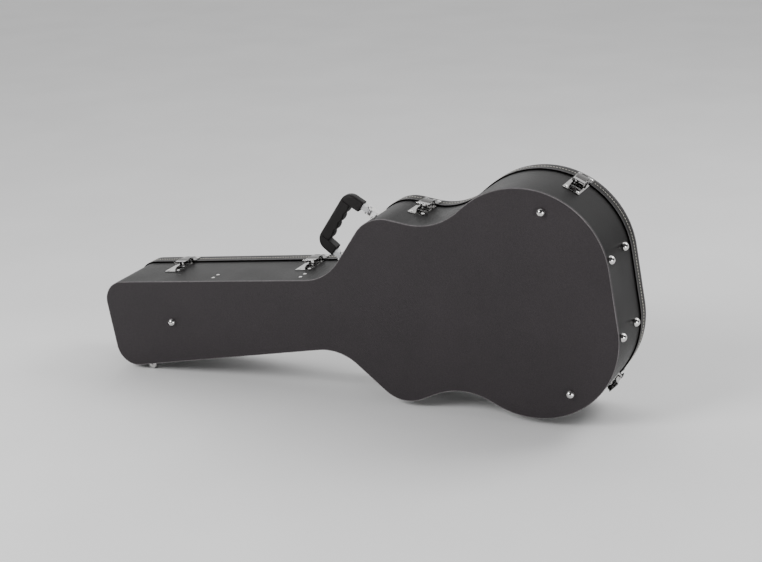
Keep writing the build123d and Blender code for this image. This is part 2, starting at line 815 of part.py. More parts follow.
def build():
    """All nodes, drawn with the case on its back."""
    nodes = {}
    base_ring = band(0, wall_thickness, panel_thickness, rim)
    nodes["back_panel"] = back_panel()
    nodes["base_wall_latch_side"] = shell_side(base_ring, -1)
    nodes["base_wall_hinge_side"] = shell_side(base_ring, 1)
    nodes["base_head_board"] = head_board(base_ring)
    tongue = band(wall_thickness, wall_thickness + tongue_thickness,
                  floor_top + bout_pad_height, rim + tongue_height)
    reach = lower_bout_width
    nodes["rim_tongue_latch_side"] = tongue & block((-case_length, 10), (0, -reach), (0, case_depth))
    nodes["rim_tongue_hinge_side"] = tongue & block((-case_length, 10), (0, reach), (0, case_depth))
    nodes["floor_pad"] = floor_pad()
    nodes["bout_pad_latch_side"] = bout_pad(-1)
    nodes["bout_pad_hinge_side"] = bout_pad(1)
    nodes["neck_cradle"] = neck_cradle()
    nodes["partition_tail_end"] = partition(partition_stations[0])
    nodes["partition_head_end"] = partition(partition_stations[1])
    nodes["compartment_ledge"] = compartment_ledge()
    nodes["compartment_lid"] = compartment_lid()
    nodes["compartment_pull_tab"] = pull_tab()
    nodes["partition_rivets"] = group(partition_rivets())
    nodes["back_feet"] = group(back_feet())
    nodes["tail_feet"] = group(tail_feet())
    nodes["hinge_side_feet"] = group(hinge_side_feet())
    nodes["hinge_base_leaves"] = group([hinge_leaf(along, False) for along in hinge_stations()])
    nodes["hinge_lid_leaves"] = group([hinge_leaf(along, True) for along in hinge_stations()])
    nodes["hinge_pins"] = group([hinge_pin(along) for along in hinge_stations()])
    for index in range(len(latch_stations)):
        number = index + 1
        nodes[f"latch_base_plate_{number}"] = latch_base_plate(index)
        nodes[f"latch_lever_{number}"] = lever_body(index)
        nodes[f"latch_claw_{number}"] = claw_body(index)
        nodes[f"latch_claw_pin_{number}"] = claw_pin(index)
    nodes["latch_pivot_pins"] = group([latch_pin(index) for index in range(len(latch_stations))])
    nodes["base_rivets"] = group(latch_base_rivets() + hinge_rivets(False) + handle_rivets())
    nodes["catch_plates"] = group([catch_plate(index) for index in range(len(latch_stations))])
    nodes["lid_rivets"] = group(catch_rivets() + hinge_rivets(True))
    nodes["handle_core"] = handle_core()
    nodes["handle_grip"], nodes["handle_leg_bout_end"], nodes["handle_leg_neck_end"] = handle_parts()
    nodes["handle_bracket_bout_end"] = handle_bracket(-1)
    nodes["handle_bracket_neck_end"] = handle_bracket(1)
    nodes["handle_pins"] = group([handle_pin(-1), handle_pin(1)])
    lid_ring = band(0, lid_wall_thickness, lid_rim, lid_panel_bottom)
    nodes["lid_panel"] = lid_panel()
    nodes["lid_wall_latch_side"] = lid_ring & block((-case_length, 10), (0, -reach), (0, 2 * case_depth))
    nodes["lid_wall_hinge_side"] = lid_ring & block((-case_length, 10), (0, reach), (0, 2 * case_depth))
    nodes["lid_binding"] = band(-lip_proud, 0, lid_rim, lid_panel_bottom)
    nodes["lid_lining"] = slab(lid_wall_thickness, lid_panel_bottom - lid_lining_thickness, lid_panel_bottom)
    return nodes


def limits(shapes):
    """Lowest and highest corner of a set of shapes."""
    boxes = [shape.bounding_box() for shape in shapes]
    low = [min(getattr(box.min, axis) for box in boxes) for axis in "XYZ"]
    high = [max(getattr(box.max, axis) for box in boxes) for axis in "XYZ"]
    return low, high


def main():
    os.makedirs("parts", exist_ok=True)
    nodes = build()
    turned = {name: stand() * shape for name, shape in nodes.items()}
    low, high = limits(turned.values())
    shift = Pos(-(low[0] + high[0]) / 2, -(low[1] + high[1]) / 2, -low[2])
    for name, shape in turned.items():
        export_step(shift * shape, f"parts/{name}.step")
    print("nodes", len(nodes), "low", low, "high", high)


if __name__ == "__main__":
    main()
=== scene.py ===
"""Looks of a hard-shell guitar case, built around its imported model."""

import json
import math

import bpy
import numpy as np
from bpy.props import FloatProperty, FloatVectorProperty, IntProperty, PointerProperty
from mathutils import Euler, Matrix, Vector


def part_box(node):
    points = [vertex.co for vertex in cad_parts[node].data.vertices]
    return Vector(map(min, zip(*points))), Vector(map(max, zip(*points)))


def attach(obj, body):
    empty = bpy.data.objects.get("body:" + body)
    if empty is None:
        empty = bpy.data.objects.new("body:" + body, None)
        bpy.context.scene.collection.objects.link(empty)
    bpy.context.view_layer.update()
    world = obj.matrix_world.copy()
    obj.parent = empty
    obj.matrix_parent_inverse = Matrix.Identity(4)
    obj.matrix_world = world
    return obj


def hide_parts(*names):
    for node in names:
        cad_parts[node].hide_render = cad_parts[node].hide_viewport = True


bl_info = {
    "name": "Hard-Shell Guitar Case",
    "version": (1, 0, 0),
    "blender": (4, 5, 0),
    "location": "3D Viewport > Sidebar > Guitar Case",
    "description": "Covering, binding, stitching, hardware, handle and padding of a guitar case",
    "category": "Add Mesh",
}

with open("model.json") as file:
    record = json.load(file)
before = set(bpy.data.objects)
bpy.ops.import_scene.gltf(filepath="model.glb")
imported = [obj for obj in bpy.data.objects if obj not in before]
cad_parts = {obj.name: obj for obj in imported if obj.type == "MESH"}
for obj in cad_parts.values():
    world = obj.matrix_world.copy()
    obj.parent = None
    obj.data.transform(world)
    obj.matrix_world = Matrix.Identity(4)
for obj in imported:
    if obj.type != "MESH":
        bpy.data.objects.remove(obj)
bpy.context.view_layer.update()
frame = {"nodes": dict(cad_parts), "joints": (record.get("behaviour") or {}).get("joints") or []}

MM = 0.001

# Outline of the shell, in millimetres from the tail along the centreline and across it.
CASE_LENGTH = 1086.0
LOWER_BOUT_WIDTH, LOWER_BOUT_RADIUS = 440.0, 164.8
WAIST_WIDTH, WAIST_RADIUS, WAIST_STATION = 325.0, 126.9, 339.8
UPPER_BOUT_RADIUS, UPPER_BOUT_STATION = 70.6, 430.7
NECK_WIDTH, NECK_RADIUS, NECK_STATION = 142.6, 100.4, 606.7
HEAD_WIDTH, HEAD_RADIUS = 180.8, 44.0
PARTING_HEIGHT = 132.0
BINDING_PROUD = 2.5

# Beads, in millimetres: piece, body, finish, outset from the walls, height above the panel's outer face.
BEADS = (
    # The panel bead's pale colour is partly rubbed wear and partly a painted edge highlight.
    ("panel_edge_bead", "root", "pale_edge", -0.7, 0.9),
    # The binding's beads are coloured far lighter than the black vinyl: a painted highlight along the lid's
    # edges.
    ("binding_edge_bead", "lid", "binding_edge_highlight", BINDING_PROUD - 0.3, PARTING_HEIGHT + 1.5),
    ("lid_edge_bead", "lid", "binding_edge_highlight", BINDING_PROUD - 0.9, PARTING_HEIGHT + 32.1),
)
STITCH_OUTSET = BINDING_PROUD + 0.05
STITCH_STEP = 2.0

# Pads: node, body, mesh size as a share of the pad mesh, furthest swelling in metres, fill.
PADS = (
    ("floor_pad", "root", 0.8, 0.0012, 0.5),
    ("bout_pad_latch_side", "root", 1.0, 0.0018, 0.7),
    ("bout_pad_hinge_side", "root", 1.0, 0.0018, 0.7),
    ("neck_cradle", "root", 0.8, 0.0030, 0.8),
    ("lid_lining", "lid", 0.8, 0.0012, 0.5),
)
PAD_PRESSURE = 3.0
CLOTH_STIFFNESS = 12.0

# Weld distance and mesh sizes, in metres.
WELD = 1e-6
MOULDING_MESH = 0.0010
RIBBON_MESH = 0.0006

# Scales of the pebbled grain of vinyl and plastic, and the depths it is pressed, in metres.
SHELL_GRAIN, BINDING_GRAIN, BEAD_GRAIN, HANDLE_GRAIN = 950.0, 700.0, 400.0, 1300.0
DEEP_PRESS, PLAIN_PRESS, SHALLOW_PRESS = 0.0004, 0.0003, 0.0002

FLOOR_WIDTH = 60.0
FLOOR_DROP = 0.0005
SKY_STRENGTH = 1.5

# Soft boxes: name, place and width in metres, power in watts. All of them aim at the middle.
MIDDLE = (0.0, 0.0, 0.2)
SOFT_BOXES = (
    ("key_box", (-1.6, -2.6, 2.2), 1.6, 95),
    ("rim_box", (1.8, 1.4, 2.2), 1.2, 30),
    ("tail_box", (2.6, -1.4, 0.5), 0.8, 26),
)
CAMERA_PLACE = (1.30528, -2.62765, 1.20808)
CAMERA_DEGREES = (71.292, 2.455, 24.837)
LENS, SENSOR = 75.15, 36.0


# ---- Outline ----

def bends():
    """Centre and signed radius of each bend on one side, tail to head; plus is convex."""
    tail = (-LOWER_BOUT_RADIUS, LOWER_BOUT_WIDTH / 2 - LOWER_BOUT_RADIUS)
    head = (-(CASE_LENGTH - HEAD_RADIUS), HEAD_WIDTH / 2 - HEAD_RADIUS)
    run, rise = tail[0] - head[0], tail[1] - head[1]
    lean = math.atan2(rise, run) + math.asin((LOWER_BOUT_RADIUS - HEAD_RADIUS) / math.hypot(run, rise))
    touch = (tail[0] - LOWER_BOUT_RADIUS * math.sin(lean), tail[1] + LOWER_BOUT_RADIUS * math.cos(lean))
    line = touch[1] + (-UPPER_BOUT_STATION - touch[0]) * math.tan(lean)
    return [
        (tail, LOWER_BOUT_RADIUS),
        ((-WAIST_STATION, WAIST_WIDTH / 2 + WAIST_RADIUS), -WAIST_RADIUS),
        ((-UPPER_BOUT_STATION, line - UPPER_BOUT_RADIUS / math.cos(lean)), UPPER_BOUT_RADIUS),
        ((-NECK_STATION, NECK_WIDTH / 2 + NECK_RADIUS), -NECK_RADIUS),
        (head, HEAD_RADIUS),
    ]


def outline(outset, step=4.0):
    """Closed loop of points along the outline, moved outwards, about one step apart."""
    chain = bends()
    angles = [0.0]
    for (start, start_r), (end, end_r) in zip(chain, chain[1:]):
        dx, dy = end[0] - start[0], end[1] - start[1]
        angle = math.atan2(dy, dx) - math.acos((start_r - end_r) / math.hypot(dx, dy))
        angles.append(angle % (2 * math.pi))
    angles.append(math.pi)
    half = []
    for (centre, radius), start, end in zip(chain, angles, angles[1:]):
        reach = radius + outset
        count = max(3, int(abs(end - start) * abs(reach) / step))
        for k in range(count + 1):
            angle = start + (end - start) * k / count
            half.append((centre[0] + reach * math.cos(angle), centre[1] + reach * math.sin(angle)))
    loop = half + [(x, -y) for x, y in reversed(half)]
    return spread(loop, step)


def spread(loop, step):
    """Points added on the straight stretches of a closed loop."""
    points = []
    for (x0, y0), (x1, y1) in zip(loop, loop[1:] + loop[:1]):
        count = max(1, int(math.hypot(x1 - x0, y1 - y0) / step))
        points += [(x0 + (x1 - x0) * k / count, y0 + (y1 - y0) * k / count) for k in range(count)]
    return points


def joint(name):
    """One of the frame's joints."""
    return next(entry for entry in frame["joints"] if entry["name"] == name)


def case_matrix():
    """Matrix from the case lying on its back, in millimetres, to the frame in metres."""
    along = -Vector(joint("compartment_lid_hinge")["axis"])
    across = Vector((along.z, 0, -along.x))
    turned = [along * x + across * y for x, y in outline(0.0)]
    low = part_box("back_panel")[0]
    left, bottom = min(p.x for p in turned) * MM, min(p.z for p in turned) * MM
    origin = Vector((low[0] - left, low[1], low[2] - bottom))
    turn = Matrix((along, across, (0, 1, 0))).transposed()
    return Matrix.Translation(origin) @ (turn * MM).to_4x4()


CASE = case_matrix()


def placed(points, height):
    """Loop of case points at a height above the back panel's outer face, in the frame."""
    return [CASE @ Vector((x, y, height)) for x, y in points]


# ---- Materials ----

def shader(name, colour, roughness, metallic=0.0):
    """New node material: its tree, its Principled shader and the material."""
    material = bpy.data.materials.new(name)
    material.use_nodes = True
    tree = material.node_tree
    principled = tree.nodes["Principled BSDF"]
    principled.inputs["Base Color"].default_value = (*colour, 1)
    principled.inputs["Roughness"].default_value = roughness
    principled.inputs["Metallic"].default_value = metallic
    return tree, principled, material


def add(tree, kind, inputs=None, **settings):
    """Node with its settings and its input values or links."""
    node = tree.nodes.new(kind)
    for key, value in settings.items():
        setattr(node, key, value)
    for key, value in (inputs or {}).items():
        if isinstance(value, bpy.types.NodeSocket):
            tree.links.new(value, node.inputs[key])
        else:
            node.inputs[key].default_value = value
    return node


def ramp(tree, factor, low, high, start=0.3, end=0.7):
    """Colour ramp between two colours."""
    node = add(tree, "ShaderNodeValToRGB", {"Fac": factor})
    node.color_ramp.elements[0].position = start
    node.color_ramp.elements[0].color = (*low, 1)
    node.color_ramp.elements[1].position = end
    node.color_ramp.elements[1].color = (*high, 1)
    return node.outputs["Color"]


def span(tree, factor, low, high):
    """Number that varies between two limits."""
    node = add(tree, "ShaderNodeMapRange", {"Value": factor, "To Min": low, "To Max": high})
    return node.outputs["Result"]


def leatherette(name, dark, light, roughness, grain, depth, shine=0.3, scuffs=0.0):
    """Embossed vinyl: pebbled grain, cloudy colour and faint rubbed patches."""
    tree, principled, material = shader(name, dark, roughness)
    principled.inputs["Specular IOR Level"].default_value = shine
    place = add(tree, "ShaderNodeTexCoord").outputs["Object"]
    pebble = add(tree, "ShaderNodeTexVoronoi", {"Vector": place, "Scale": grain}, feature="SMOOTH_F1")
    crease = add(tree, "ShaderNodeTexNoise", {"Vector": place, "Scale": grain * 0.45, "Detail": 4.0})
    cloud = add(tree, "ShaderNodeTexNoise", {"Vector": place, "Scale": 9.0, "Detail": 5.0})
    fleck = add(tree, "ShaderNodeTexNoise", {"Vector": place, "Scale": grain * 0.6, "Detail": 3.0})
    base = ramp(tree, cloud.outputs["Fac"], dark, light, 0.35, 0.68)
    speck = ramp(tree, fleck.outputs["Fac"], (0.86, 0.86, 0.86), (1.16, 1.15, 1.15), 0.36, 0.66)
    colour = add(tree, "ShaderNodeMix", {"Factor": 1.0, "A": base, "B": speck}, data_type="RGBA",
                 blend_type="MULTIPLY")
    tree.links.new(colour.outputs["Result"], principled.inputs["Base Color"])
    rough = span(tree, cloud.outputs["Fac"], roughness - 0.06 - scuffs, roughness + 0.08)
    tree.links.new(rough, principled.inputs["Roughness"])
    height = add(tree, "ShaderNodeMath", {0: pebble.outputs["Distance"], 1: crease.outputs["Fac"]},
                 operation="ADD")
    bump = add(tree, "ShaderNodeBump", {"Height": height.outputs[0], "Strength": 0.55, "Distance": depth})
    tree.links.new(bump.outputs["Normal"], principled.inputs["Normal"])
    return material


def plated(name, colour, roughness):
    """Bright plate with faint smears and fine polishing lines."""
    tree, principled, material = shader(name, colour, roughness, 1.0)
    place = add(tree, "ShaderNodeTexCoord").outputs["Object"]
    smear = add(tree, "ShaderNodeTexNoise", {"Vector": place, "Scale": 55.0, "Detail": 6.0})
    lines = add(tree, "ShaderNodeTexNoise", {"Vector": place, "Scale": 900.0, "Detail": 2.0})
    rough = span(tree, smear.outputs["Fac"], roughness * 0.6, roughness * 1.9)
    tree.links.new(rough, principled.inputs["Roughness"])
    tone = ramp(tree, smear.outputs["Fac"], times(colour, 0.86), colour)
    tree.links.new(tone, principled.inputs["Base Color"])
    bump = add(tree, "ShaderNodeBump", {"Height": lines.outputs["Fac"], "Strength": 0.05, "Distance": 0.0001})
    tree.links.new(bump.outputs["Normal"], principled.inputs["Normal"])
    return material


def pile(name, dark, light):
    """Short plush pile with sheen and brushed patches."""
    tree, principled, material = shader(name, dark, 0.95)
    principled.inputs["Sheen Weight"].default_value = 0.7
    principled.inputs["Sheen Roughness"].default_value = 0.45
    place = add(tree, "ShaderNodeTexCoord").outputs["Object"]
    fibre = add(tree, "ShaderNodeTexNoise", {"Vector": place, "Scale": 1400.0, "Detail": 3.0})
    brushed = add(tree, "ShaderNodeTexNoise", {"Vector": place, "Scale": 22.0, "Detail": 4.0})
    base = ramp(tree, brushed.outputs["Fac"], dark, light)
    tree.links.new(base, principled.inputs["Base Color"])
    bump = add(tree, "ShaderNodeBump", {"Height": fibre.outputs["Fac"], "Strength": 0.8, "Distance": 0.0006})
    tree.links.new(bump.outputs["Normal"], principled.inputs["Normal"])
    return material


def thread(name, colour):
    """Thread or ribbon with a fine mottle."""
    tree, principled, material = shader(name, colour, 0.65)
    place = add(tree, "ShaderNodeTexCoord").outputs["Object"]
    twist = add(tree, "ShaderNodeTexNoise", {"Vector": place, "Scale": 1800.0, "Detail": 2.0})
    shade = ramp(tree, twist.outputs["Fac"], times(colour, 0.7), colour)
    tree.links.new(shade, principled.inputs["Base Color"])
    bump = add(tree, "ShaderNodeBump", {"Height": twist.outputs["Fac"], "Strength": 0.4, "Distance": 0.0002})
    tree.links.new(bump.outputs["Normal"], principled.inputs["Normal"])
    return material


def times(colour, share):
    """Colour made lighter or darker."""
    return tuple(part * share for part in colour)


MATERIALS = {}


def material(name):
    """One of the case's finishes, made when it is first asked for."""
    if name not in MATERIALS:
        colours = bpy.context.scene.guitar_case_colours
        back, side = tuple(colours.back), tuple(colours.side)
        pale, grip = tuple(colours.pale_edge), tuple(colours.handle)
        makers = {
            "back_covering": lambda: leatherette(name, back, times(back, 1.2), 0.55, SHELL_GRAIN, DEEP_PRESS,
                                                 0.35),
            "side_covering": lambda: leatherette(name, side, times(side, 1.4), 0.38, SHELL_GRAIN,
                                                 SHALLOW_PRESS, 0.07, 0.05),
            "binding_vinyl": lambda: leatherette(name, times(side, 0.6), side, 0.3, BINDING_GRAIN,
                                                 SHALLOW_PRESS, 0.06),
            # Pale edge bead: rubbed wear together with a painted edge highlight.
            "pale_edge": lambda: leatherette(name, pale, times(pale, 1.6), 0.5, BEAD_GRAIN, PLAIN_PRESS),
            # Painted highlight: the binding's edge beads, lighter than the vinyl they trim.
            "binding_edge_highlight": lambda: leatherette(name, times(pale, 0.5), pale, 0.4, BEAD_GRAIN, SHALLOW_PRESS),
            "handle_plastic": lambda: leatherette(name, grip, times(grip, 1.5), 0.5, HANDLE_GRAIN,
                                                  PLAIN_PRESS, 0.25),
            "chrome_plate": lambda: plated(name, (0.72, 0.71, 0.70), 0.13),
            # Latch plates, levers and hinge leaves are chrome with a dimmed colour, and the claws and catch
            # plates are chrome with a near-black one: painted dark reflections on bright chrome.
            "chrome_dimmed_for_reflection": lambda: plated(name, (0.34, 0.335, 0.33), 0.10),
            "chrome_blackened_for_reflection": lambda: plated(name, (0.09, 0.088, 0.087), 0.14),
            "pin_steel": lambda: plated(name, (0.55, 0.55, 0.56), 0.3),
            "plush": lambda: pile(name, (0.028, 0.026, 0.032), (0.05, 0.047, 0.056)),
            "board_cloth": lambda: pile(name, (0.022, 0.021, 0.023), (0.038, 0.036, 0.04)),
            "ribbon_weave": lambda: thread(name, (0.03, 0.03, 0.032)),
            "stitch_thread": lambda: thread(name, tuple(colours.stitching)),
        }
        MATERIALS[name] = makers[name]()
    return MATERIALS[name]


def cover(nodes, finish):
    """Give CAD nodes a finish."""
    for name in nodes:
        part = frame["nodes"][name]
        if not part.material_slots:
            part.data.materials.append(None)
        for entry in part.material_slots:
            entry.material = material(finish)


# ---- Geometry Nodes ----

def node_tree(name, labels):
    """New geometry tree with a geometry input and named sizes."""
    tree = bpy.data.node_groups.new(name, "GeometryNodeTree")
    face = tree.interface
    face.new_socket("Geometry", in_out="INPUT", socket_type="NodeSocketGeometry")
    for label in labels:
        face.new_socket(label, in_out="INPUT", socket_type="NodeSocketFloat").subtype = "DISTANCE"
    face.new_socket("Geometry", in_out="OUTPUT", socket_type="NodeSocketGeometry")
    start = tree.nodes.new("NodeGroupInput")
    return tree, start


def close_tree(tree, geometry, finish):
    """Realize Instances, smooth shading and the material at the end of a tree."""
    real = add(tree, "GeometryNodeRealizeInstances", {"Geometry": geometry})
    smooth = add(tree, "GeometryNodeSetShadeSmooth", {"Geometry": real.outputs[0]})
    painted = add(tree, "GeometryNodeSetMaterial",
                  {"Geometry": smooth.outputs[0], "Material": material(finish)})
    end = tree.nodes.new("NodeGroupOutput")
    tree.links.new(painted.outputs[0], end.inputs[0])


def bead_tree(finish):
    """Round bead swept along the path."""
    tree, start = node_tree("bead_" + finish, ("Radius",))
    path = add(tree, "GeometryNodeMeshToCurve", {"Mesh": start.outputs["Geometry"]})
    ring = add(tree, "GeometryNodeCurvePrimitiveCircle",
               {"Resolution": 10, "Radius": start.outputs["Radius"]})
    swept = add(tree, "GeometryNodeCurveToMesh",
                {"Curve": path.outputs[0], "Profile Curve": ring.outputs[0]})
    close_tree(tree, swept.outputs[0], finish)
    return tree


def stitch_tree(finish):
    """Short rounded stitches laid end to end along the path."""
    tree, start = node_tree("running_stitch", ("Length", "Thickness", "Pitch"))
    path = add(tree, "GeometryNodeMeshToCurve", {"Mesh": start.outputs["Geometry"]})
    dots = add(tree, "GeometryNodeCurveToPoints",
               {"Curve": path.outputs[0], "Length": start.outputs["Pitch"]}, mode="LENGTH")
    ball = add(tree, "GeometryNodeMeshUVSphere", {"Segments": 8, "Rings": 6, "Radius": 0.5})
    thickness = start.outputs["Thickness"]
    size = add(tree, "ShaderNodeCombineXYZ", {"X": thickness, "Y": thickness, "Z": start.outputs["Length"]})
    laid = add(tree, "GeometryNodeInstanceOnPoints",
               {"Points": dots.outputs["Points"], "Instance": ball.outputs["Mesh"],
                "Rotation": dots.outputs["Rotation"], "Scale": size.outputs[0]})
    close_tree(tree, laid.outputs[0], finish)
    return tree


def loop_object(name, points):
    """Mesh of one closed loop of edges."""
    mesh = bpy.data.meshes.new(name)
    count = len(points)
    mesh.from_pydata(points, [(k, (k + 1) % count) for k in range(count)], [])
    piece = bpy.data.objects.new(name, mesh)
    bpy.context.scene.collection.objects.link(piece)
    return piece


def grow(piece, tree, sizes):
    """Apply a geometry tree, with its named sizes, and leave plain mesh."""
    modifier = piece.modifiers.new("grow", "NODES")
    modifier.node_group = tree
    for socket in tree.interface.items_tree:
        if socket.name in sizes:
            modifier[socket.identifier] = sizes[socket.name]
    bpy.context.view_layer.update()
    apply_all(piece)


# ---- Meshes from CAD solids ----

def copy_of(node, name):
    """Closed mesh copy of a CAD solid, as a new piece."""
    mesh = frame["nodes"][node].data.copy()
    mesh.name = name
    piece = bpy.data.objects.new(name, mesh)
    bpy.context.scene.collection.objects.link(piece)
    select(piece)
    bpy.ops.object.mode_set(mode="EDIT")
    bpy.ops.mesh.select_all(action="SELECT")
    bpy.ops.mesh.remove_doubles(threshold=WELD)
    bpy.ops.object.mode_set(mode="OBJECT")
    return piece


def select(piece):
    """Make a piece the only one selected."""
    bpy.ops.object.select_all(action="DESELECT")
    bpy.context.view_layer.objects.active = piece
    piece.select_set(True)


def apply_all(piece):
    """Apply every modifier of a piece."""
    evaluated = piece.evaluated_get(bpy.context.evaluated_depsgraph_get())
    mesh = bpy.data.meshes.new_from_object(evaluated)
    piece.modifiers.clear()
    piece.data = mesh


def remesh(piece, voxel):
    """Rebuild a piece as an even mesh."""
    modifier = piece.modifiers.new("voxels", "REMESH")
    modifier.mode = "VOXEL"
    modifier.voxel_size = voxel
    apply_all(piece)


def soften(piece, factor, steps):
    """Take the steps out of a mesh."""
    modifier = piece.modifiers.new("soften", "SMOOTH")
    modifier.factor = factor
    modifier.iterations = steps
    apply_all(piece)


def shade(piece, finish):
    """Smooth faces and one finish all over."""
    piece.data.materials.clear()
    piece.data.materials.append(material(finish))
    piece.data.polygons.foreach_set("use_smooth", [True] * len(piece.data.polygons))


def corners(piece):
    """Vertex places as an array."""
    places = np.empty(len(piece.data.vertices) * 3, np.float64)
    piece.data.vertices.foreach_get("co", places)
    return places.reshape(-1, 3)


def move_to(piece, places):
    """Put the vertices at new places."""
    piece.data.vertices.foreach_set("co", places.ravel())
    piece.data.update()


def inflate(piece, cap, frames):
    """Blow a pad up by cloth simulation, and let no point move further than the cap."""
    before = corners(piece)
    modifier = piece.modifiers.new("cloth", "CLOTH")
    settings = modifier.settings
    settings.use_pressure = True
    settings.uniform_pressure_force = PAD_PRESSURE
    settings.effector_weights.gravity = 0.0
    settings.tension_stiffness = CLOTH_STIFFNESS
    settings.compression_stiffness = CLOTH_STIFFNESS
    modifier.collision_settings.use_collision = False
    modifier.point_cache.frame_start = 1
    modifier.point_cache.frame_end = frames
    for number in range(1, frames + 1):
        bpy.context.scene.frame_set(number)
    apply_all(piece)
    bpy.context.scene.frame_set(1)
    moved = corners(piece) - before
    length = np.linalg.norm(moved, axis=1, keepdims=True)
    move_to(piece, before + moved * np.minimum(1.0, cap / np.maximum(length, 1e-9)))


def keep_inside(pad, node):
    """Hold a pad inside the box of its solid."""
    low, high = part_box(node)
    move_to(pad, np.clip(corners(pad), np.array(low), np.array(high)))


# ---- Sizes and colours ----

class GuitarCaseColours(bpy.types.PropertyGroup):
    """Colours of the case."""

    back: FloatVectorProperty(name="Back covering", description="Colour of the back panel's covering",
                              subtype="COLOR", size=3, min=0, max=1, default=(0.0230, 0.0190, 0.0212))
    side: FloatVectorProperty(name="Side covering", description="Colour of the side walls' covering",
                              subtype="COLOR", size=3, min=0, max=1, default=(0.0030, 0.0026, 0.0027))
    # The pale edge colour stands for rubbed wear and a painted edge highlight together.
    pale_edge: FloatVectorProperty(name="Pale edge", description="Colour of the pale edge bead",
                                   subtype="COLOR", size=3, min=0, max=1, default=(0.12, 0.112, 0.115))
    stitching: FloatVectorProperty(name="Stitching", description="Colour of the binding's thread",
                                   subtype="COLOR", size=3, min=0, max=1, default=(0.80, 0.76, 0.68))
    handle: FloatVectorProperty(name="Handle", description="Colour of the handle's plastic",
                                subtype="COLOR", size=3, min=0, max=1, default=(0.0070, 0.0058, 0.0058))


class GuitarCaseSizes(bpy.types.PropertyGroup):
    """Sizes of the trim and the padding."""

    edge_bead: FloatProperty(name="Edge bead", description="Radius of the bead round the back panel",
                             subtype="DISTANCE", unit="LENGTH", default=0.0007)
    binding_bead: FloatProperty(name="Binding bead", description="Radius of the bead on the binding's edge",
                                subtype="DISTANCE", unit="LENGTH", default=0.0007)
    stitch_length: FloatProperty(name="Stitch length", description="Length of one stitch",
                                 subtype="DISTANCE", unit="LENGTH", default=0.0044)
    stitch_thickness: FloatProperty(name="Stitch thickness", description="Thickness of the thread",
                                    subtype="DISTANCE", unit="LENGTH", default=0.0013)
    stitch_pitch: FloatProperty(name="Stitch pitch", description="From one stitch to the next",
                                subtype="DISTANCE", unit="LENGTH", default=0.0060)
    stitch_height: FloatProperty(name="Stitch row", description="Height of the row above the parting line",
                                 subtype="DISTANCE", unit="LENGTH", default=0.0160)
    pad_voxel: FloatProperty(name="Pad mesh", description="Mesh size of the padding before it is blown up",
                             subtype="DISTANCE", unit="LENGTH", default=0.005)
    pad_frames: IntProperty(name="Pad frames", description="Length of the padding's simulation", default=16)


# ---- Operators ----

class GUITARCASE_OT_shell(bpy.types.Operator):
    """Cover the panels and the walls"""

    bl_idname = "guitarcase.shell"
    bl_label = "Shell covering"

    def execute(self, context):
        cover(["back_panel", "lid_panel"], "back_covering")
        sides = ["base_wall_latch_side", "base_wall_hinge_side", "base_head_board",
                 "lid_wall_latch_side", "lid_wall_hinge_side"]
        cover(sides, "side_covering")
        cover(["lid_binding"], "binding_vinyl")
        boards = ["rim_tongue_latch_side", "rim_tongue_hinge_side", "partition_tail_end",
                  "partition_head_end", "compartment_ledge", "compartment_lid"]
        cover(boards, "board_cloth")
        return {"FINISHED"}


class GUITARCASE_OT_hardware(bpy.types.Operator):
    """Plate the latches, hinges, studs and rivets"""

    bl_idname = "guitarcase.hardware"
    bl_label = "Hardware"

    def execute(self, context):
        finishes = {
            "chrome_plate": ("back_feet", "tail_feet", "hinge_side_feet", "base_rivets", "lid_rivets",
                             "partition_rivets", "handle_bracket"),
            # The latch and hinge plating is darkened chrome, a painted dark reflection: dimmed on plates,
            # levers and leaves, near black on claws and catch plates.
            "chrome_dimmed_for_reflection": ("latch_base_plate", "latch_lever", "hinge_base_leaves", "hinge_lid_leaves"),
            "chrome_blackened_for_reflection": ("latch_claw_1", "latch_claw_2", "latch_claw_3", "latch_claw_4", "latch_claw_5",
                           "catch_plates"),
            "pin_steel": ("latch_pivot_pins", "latch_claw_pin", "handle_pins", "hinge_pins", "handle_core"),
        }
        for finish, starts in finishes.items():
            cover([n for n in frame["nodes"] if n.startswith(starts)], finish)
        return {"FINISHED"}


class GUITARCASE_OT_beads(bpy.types.Operator):
    """Run the pale bead round the back panel, lightened for wear and as a painted edge highlight, and the
    bead along the binding's edge, lightened as a painted highlight
    """

    bl_idname = "guitarcase.beads"
    bl_label = "Edge beads"

    def execute(self, context):
        sizes = context.scene.guitar_case_sizes
        for name, body, finish, outset, height in BEADS:
            bead = loop_object(name, placed(outline(outset), height))
            radius = sizes.edge_bead if body == "root" else sizes.binding_bead
            grow(bead, bead_tree(finish), {"Radius": radius})
            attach(bead, body)
        return {"FINISHED"}


class GUITARCASE_OT_stitching(bpy.types.Operator):
    """Stitch the binding"""

    bl_idname = "guitarcase.stitching"
    bl_label = "Binding stitches"

    def execute(self, context):
        sizes = context.scene.guitar_case_sizes
        height = PARTING_HEIGHT + sizes.stitch_height / MM
        row = loop_object("binding_stitches", placed(outline(STITCH_OUTSET, STITCH_STEP), height))
        grow(row, stitch_tree("stitch_thread"), {"Length": sizes.stitch_length,
                                                 "Thickness": sizes.stitch_thickness,
                                                 "Pitch": sizes.stitch_pitch})
        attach(row, "lid")
        return {"FINISHED"}


class GUITARCASE_OT_handle(bpy.types.Operator):
    """Mould the grip and the legs of the handle"""

    bl_idname = "guitarcase.handle"
    bl_label = "Handle mouldings"

    def execute(self, context):
        for node in ("handle_grip", "handle_leg_bout_end", "handle_leg_neck_end"):
            moulding = copy_of(node, node + "_moulding")
            remesh(moulding, MOULDING_MESH)
            soften(moulding, 0.5, 8)
            shade(moulding, "handle_plastic")
            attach(moulding, "handle")
            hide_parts(node)
        return {"FINISHED"}


